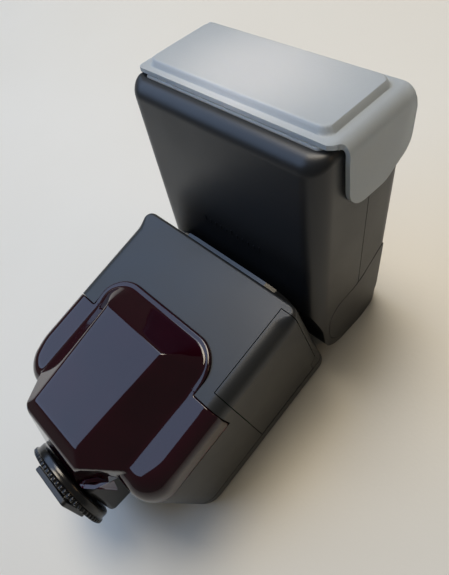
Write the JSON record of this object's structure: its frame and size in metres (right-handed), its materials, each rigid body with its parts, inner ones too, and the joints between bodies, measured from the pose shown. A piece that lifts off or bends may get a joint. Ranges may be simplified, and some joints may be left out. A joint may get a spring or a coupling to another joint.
{
  "type": "shoe-mount electronic flash gun",
  "caption": "Camera flash gun with a bouncing, swivelling zoom head, a frosted clip-on cap, a dark red focus lamp window and a locking shoe foot.",
  "frame": {"origin": "centre of the object's footprint on the table, lying on its back, at rest with the head straight", "axes": "+X towards the battery door side, +Y from the shoe foot to the flash head, +Z out of the front panel"},
  "size_m": [0.0812, 0.166, 0.1027],
  "materials": {
    "body_plastic": "fine moulded grain",
    "head_plastic": "fine moulded grain",
    "gloss_black_plastic": "polished moulding",
    "inner_black_plastic": "moulded, unseen",
    "wine_window": "polished dark red transparent plastic",
    "ruby_lens": "polished clear red lens",
    "frosted_cap": "frosted translucent plastic",
    "clear_lens": "clear plastic with moulded ribs",
    "flash_glass": "polished glass tube",
    "display_glass": "polished clear window, lightly smoked",
    "display_cell": "grey green liquid crystal",
    "key_plastic": "fine moulded grain",
    "polished_metal": "bright rolled sheet",
    "steel": "plated",
    "bush_nylon": "natural nylon",
    "board": "solder resist",
    "capacitor_sleeve": "shrink sleeve",
    "cell_jacket": "printed jacket",
    "winding": "varnished tape and wire"
  },
  "bodies": {
    "body": {"front_housing": "body_plastic", "rear_housing": "body_plastic", "autofocus_window": "wine_window", "autofocus_holder": "inner_black_plastic", "autofocus_lens": "ruby_lens", "display_window": "display_glass", "display_panel": "display_cell", "battery_tray": "inner_black_plastic", "cell_1": "cell_jacket", "cell_2": "cell_jacket", "cell_3": "cell_jacket", "cell_4": "cell_jacket", "contact_strip": "steel", "main_capacitor": "capacitor_sleeve", "main_board": "board", "transformer": "winding", "foot_pedestal": "body_plastic", "shoe_plate": "gloss_black_plastic", "contact_pin_1": "steel", "contact_pin_2": "steel", "contact_pin_3": "steel", "contact_pin_4": "steel", "door_hinge_pin": "steel", "housing_screw_1": "steel", "housing_screw_2": "steel", "housing_screw_3": "steel", "housing_screw_4": "steel"},
    "swivel": {"swivel_plinth": "gloss_black_plastic", "tilt_shaft": "steel"},
    "head": {"head_front_shell": "head_plastic", "head_rear_shell": "head_plastic", "hinge_cover_left": "head_plastic", "hinge_cover_right": "head_plastic", "tilt_bush_left": "bush_nylon", "tilt_bush_right": "bush_nylon", "front_lens": "clear_lens", "guide_rod_left": "steel", "guide_rod_right": "steel", "zoom_motor": "steel"},
    "cap": {"diffuser_cap": "frosted_cap"},
    "carriage": {"zoom_carriage": "inner_black_plastic", "reflector": "polished_metal", "flash_tube": "flash_glass"},
    "screw": {"zoom_screw": "steel"},
    "ring": {"lock_ring": "gloss_black_plastic"},
    "lock": {"lock_pin": "steel"},
    "door": {"battery_door": "body_plastic", "door_contact": "steel"},
    "switch": {"power_switch": "key_plastic"},
    "zoom_button": {"zoom_button": "key_plastic"},
    "mode_button": {"mode_button": "key_plastic"},
    "minus_button": {"minus_button": "key_plastic"},
    "plus_button": {"plus_button": "key_plastic"},
    "select_button": {"select_button": "key_plastic"},
    "light_button": {"light_button": "key_plastic"},
    "test_button": {"test_button": "key_plastic"}
  },
  "joints": [
    {"name": "head_swivel", "type": "hinge", "parent": "body", "child": "swivel", "pos_m": [0, 0.021, 0.025], "axis": [0, 1, 0], "range_deg": [-90, 180]},
    {"name": "head_tilt", "type": "hinge", "parent": "swivel", "child": "head", "pos_m": [0, 0.0418, 0.017], "axis": [-1, 0, 0], "range_deg": [0, 90]},
    {"name": "cap_pull", "type": "slide", "parent": "head", "child": "cap", "axis": [0, 0.2723, 0.9622], "range_m": [0, 0.03]},
    {"name": "zoom_travel", "type": "slide", "parent": "head", "child": "carriage", "axis": [0, 0.2723, 0.9622], "range_m": [0, 0.02]},
    {"name": "zoom_screw_turn", "type": "hinge", "parent": "head", "child": "screw", "pos_m": [0.0315, 0.04854, 0.01509], "axis": [0, 0.2723, 0.9622], "range_deg": [0, 1800]},
    {"name": "ring_turn", "type": "hinge", "parent": "body", "child": "ring", "pos_m": [0, -0.0815, 0.0338], "axis": [0, 0.9622, -0.2723], "range_deg": [0, 270]},
    {"name": "lock_drop", "type": "slide", "parent": "body", "child": "lock", "axis": [0, -0.9622, 0.2723], "range_m": [0, 0.0016]},
    {"name": "door_swing", "type": "hinge", "parent": "body", "child": "door", "pos_m": [0.03675, 0, 0.0096], "axis": [0, 1, 0], "range_deg": [0, 100]},
    {"name": "switch_slide", "type": "slide", "parent": "body", "child": "switch", "axis": [1, 0, 0], "range_m": [0, 0.006]},
    {"name": "zoom_press", "type": "slide", "parent": "body", "child": "zoom_button", "axis": [0, 0, 1], "range_m": [0, 0.0008], "stiffness_N_per_m": 400},
    {"name": "mode_press", "type": "slide", "parent": "body", "child": "mode_button", "axis": [0, 0, 1], "range_m": [0, 0.0008], "stiffness_N_per_m": 400},
    {"name": "minus_press", "type": "slide", "parent": "body", "child": "minus_button", "axis": [0, 0, 1], "range_m": [0, 0.0008], "stiffness_N_per_m": 400},
    {"name": "plus_press", "type": "slide", "parent": "body", "child": "plus_button", "axis": [0, 0, 1], "range_m": [0, 0.0008], "stiffness_N_per_m": 400},
    {"name": "select_press", "type": "slide", "parent": "body", "child": "select_button", "axis": [0, 0, 1], "range_m": [0, 0.0008], "stiffness_N_per_m": 400},
    {"name": "light_press", "type": "slide", "parent": "body", "child": "light_button", "axis": [0, 0, 1], "range_m": [0, 0.0008], "stiffness_N_per_m": 400},
    {"name": "test_press", "type": "slide", "parent": "body", "child": "test_button", "axis": [0, 0, 1], "range_m": [0, 0.0008], "stiffness_N_per_m": 400}
  ],
  "couplings": [
    {"joint": "zoom_screw_turn", "follows": "zoom_travel", "rad_per_m": 1570.8},
    {"joint": "lock_drop", "follows": "ring_turn", "m_per_rad": 0.000318}
  ]
}
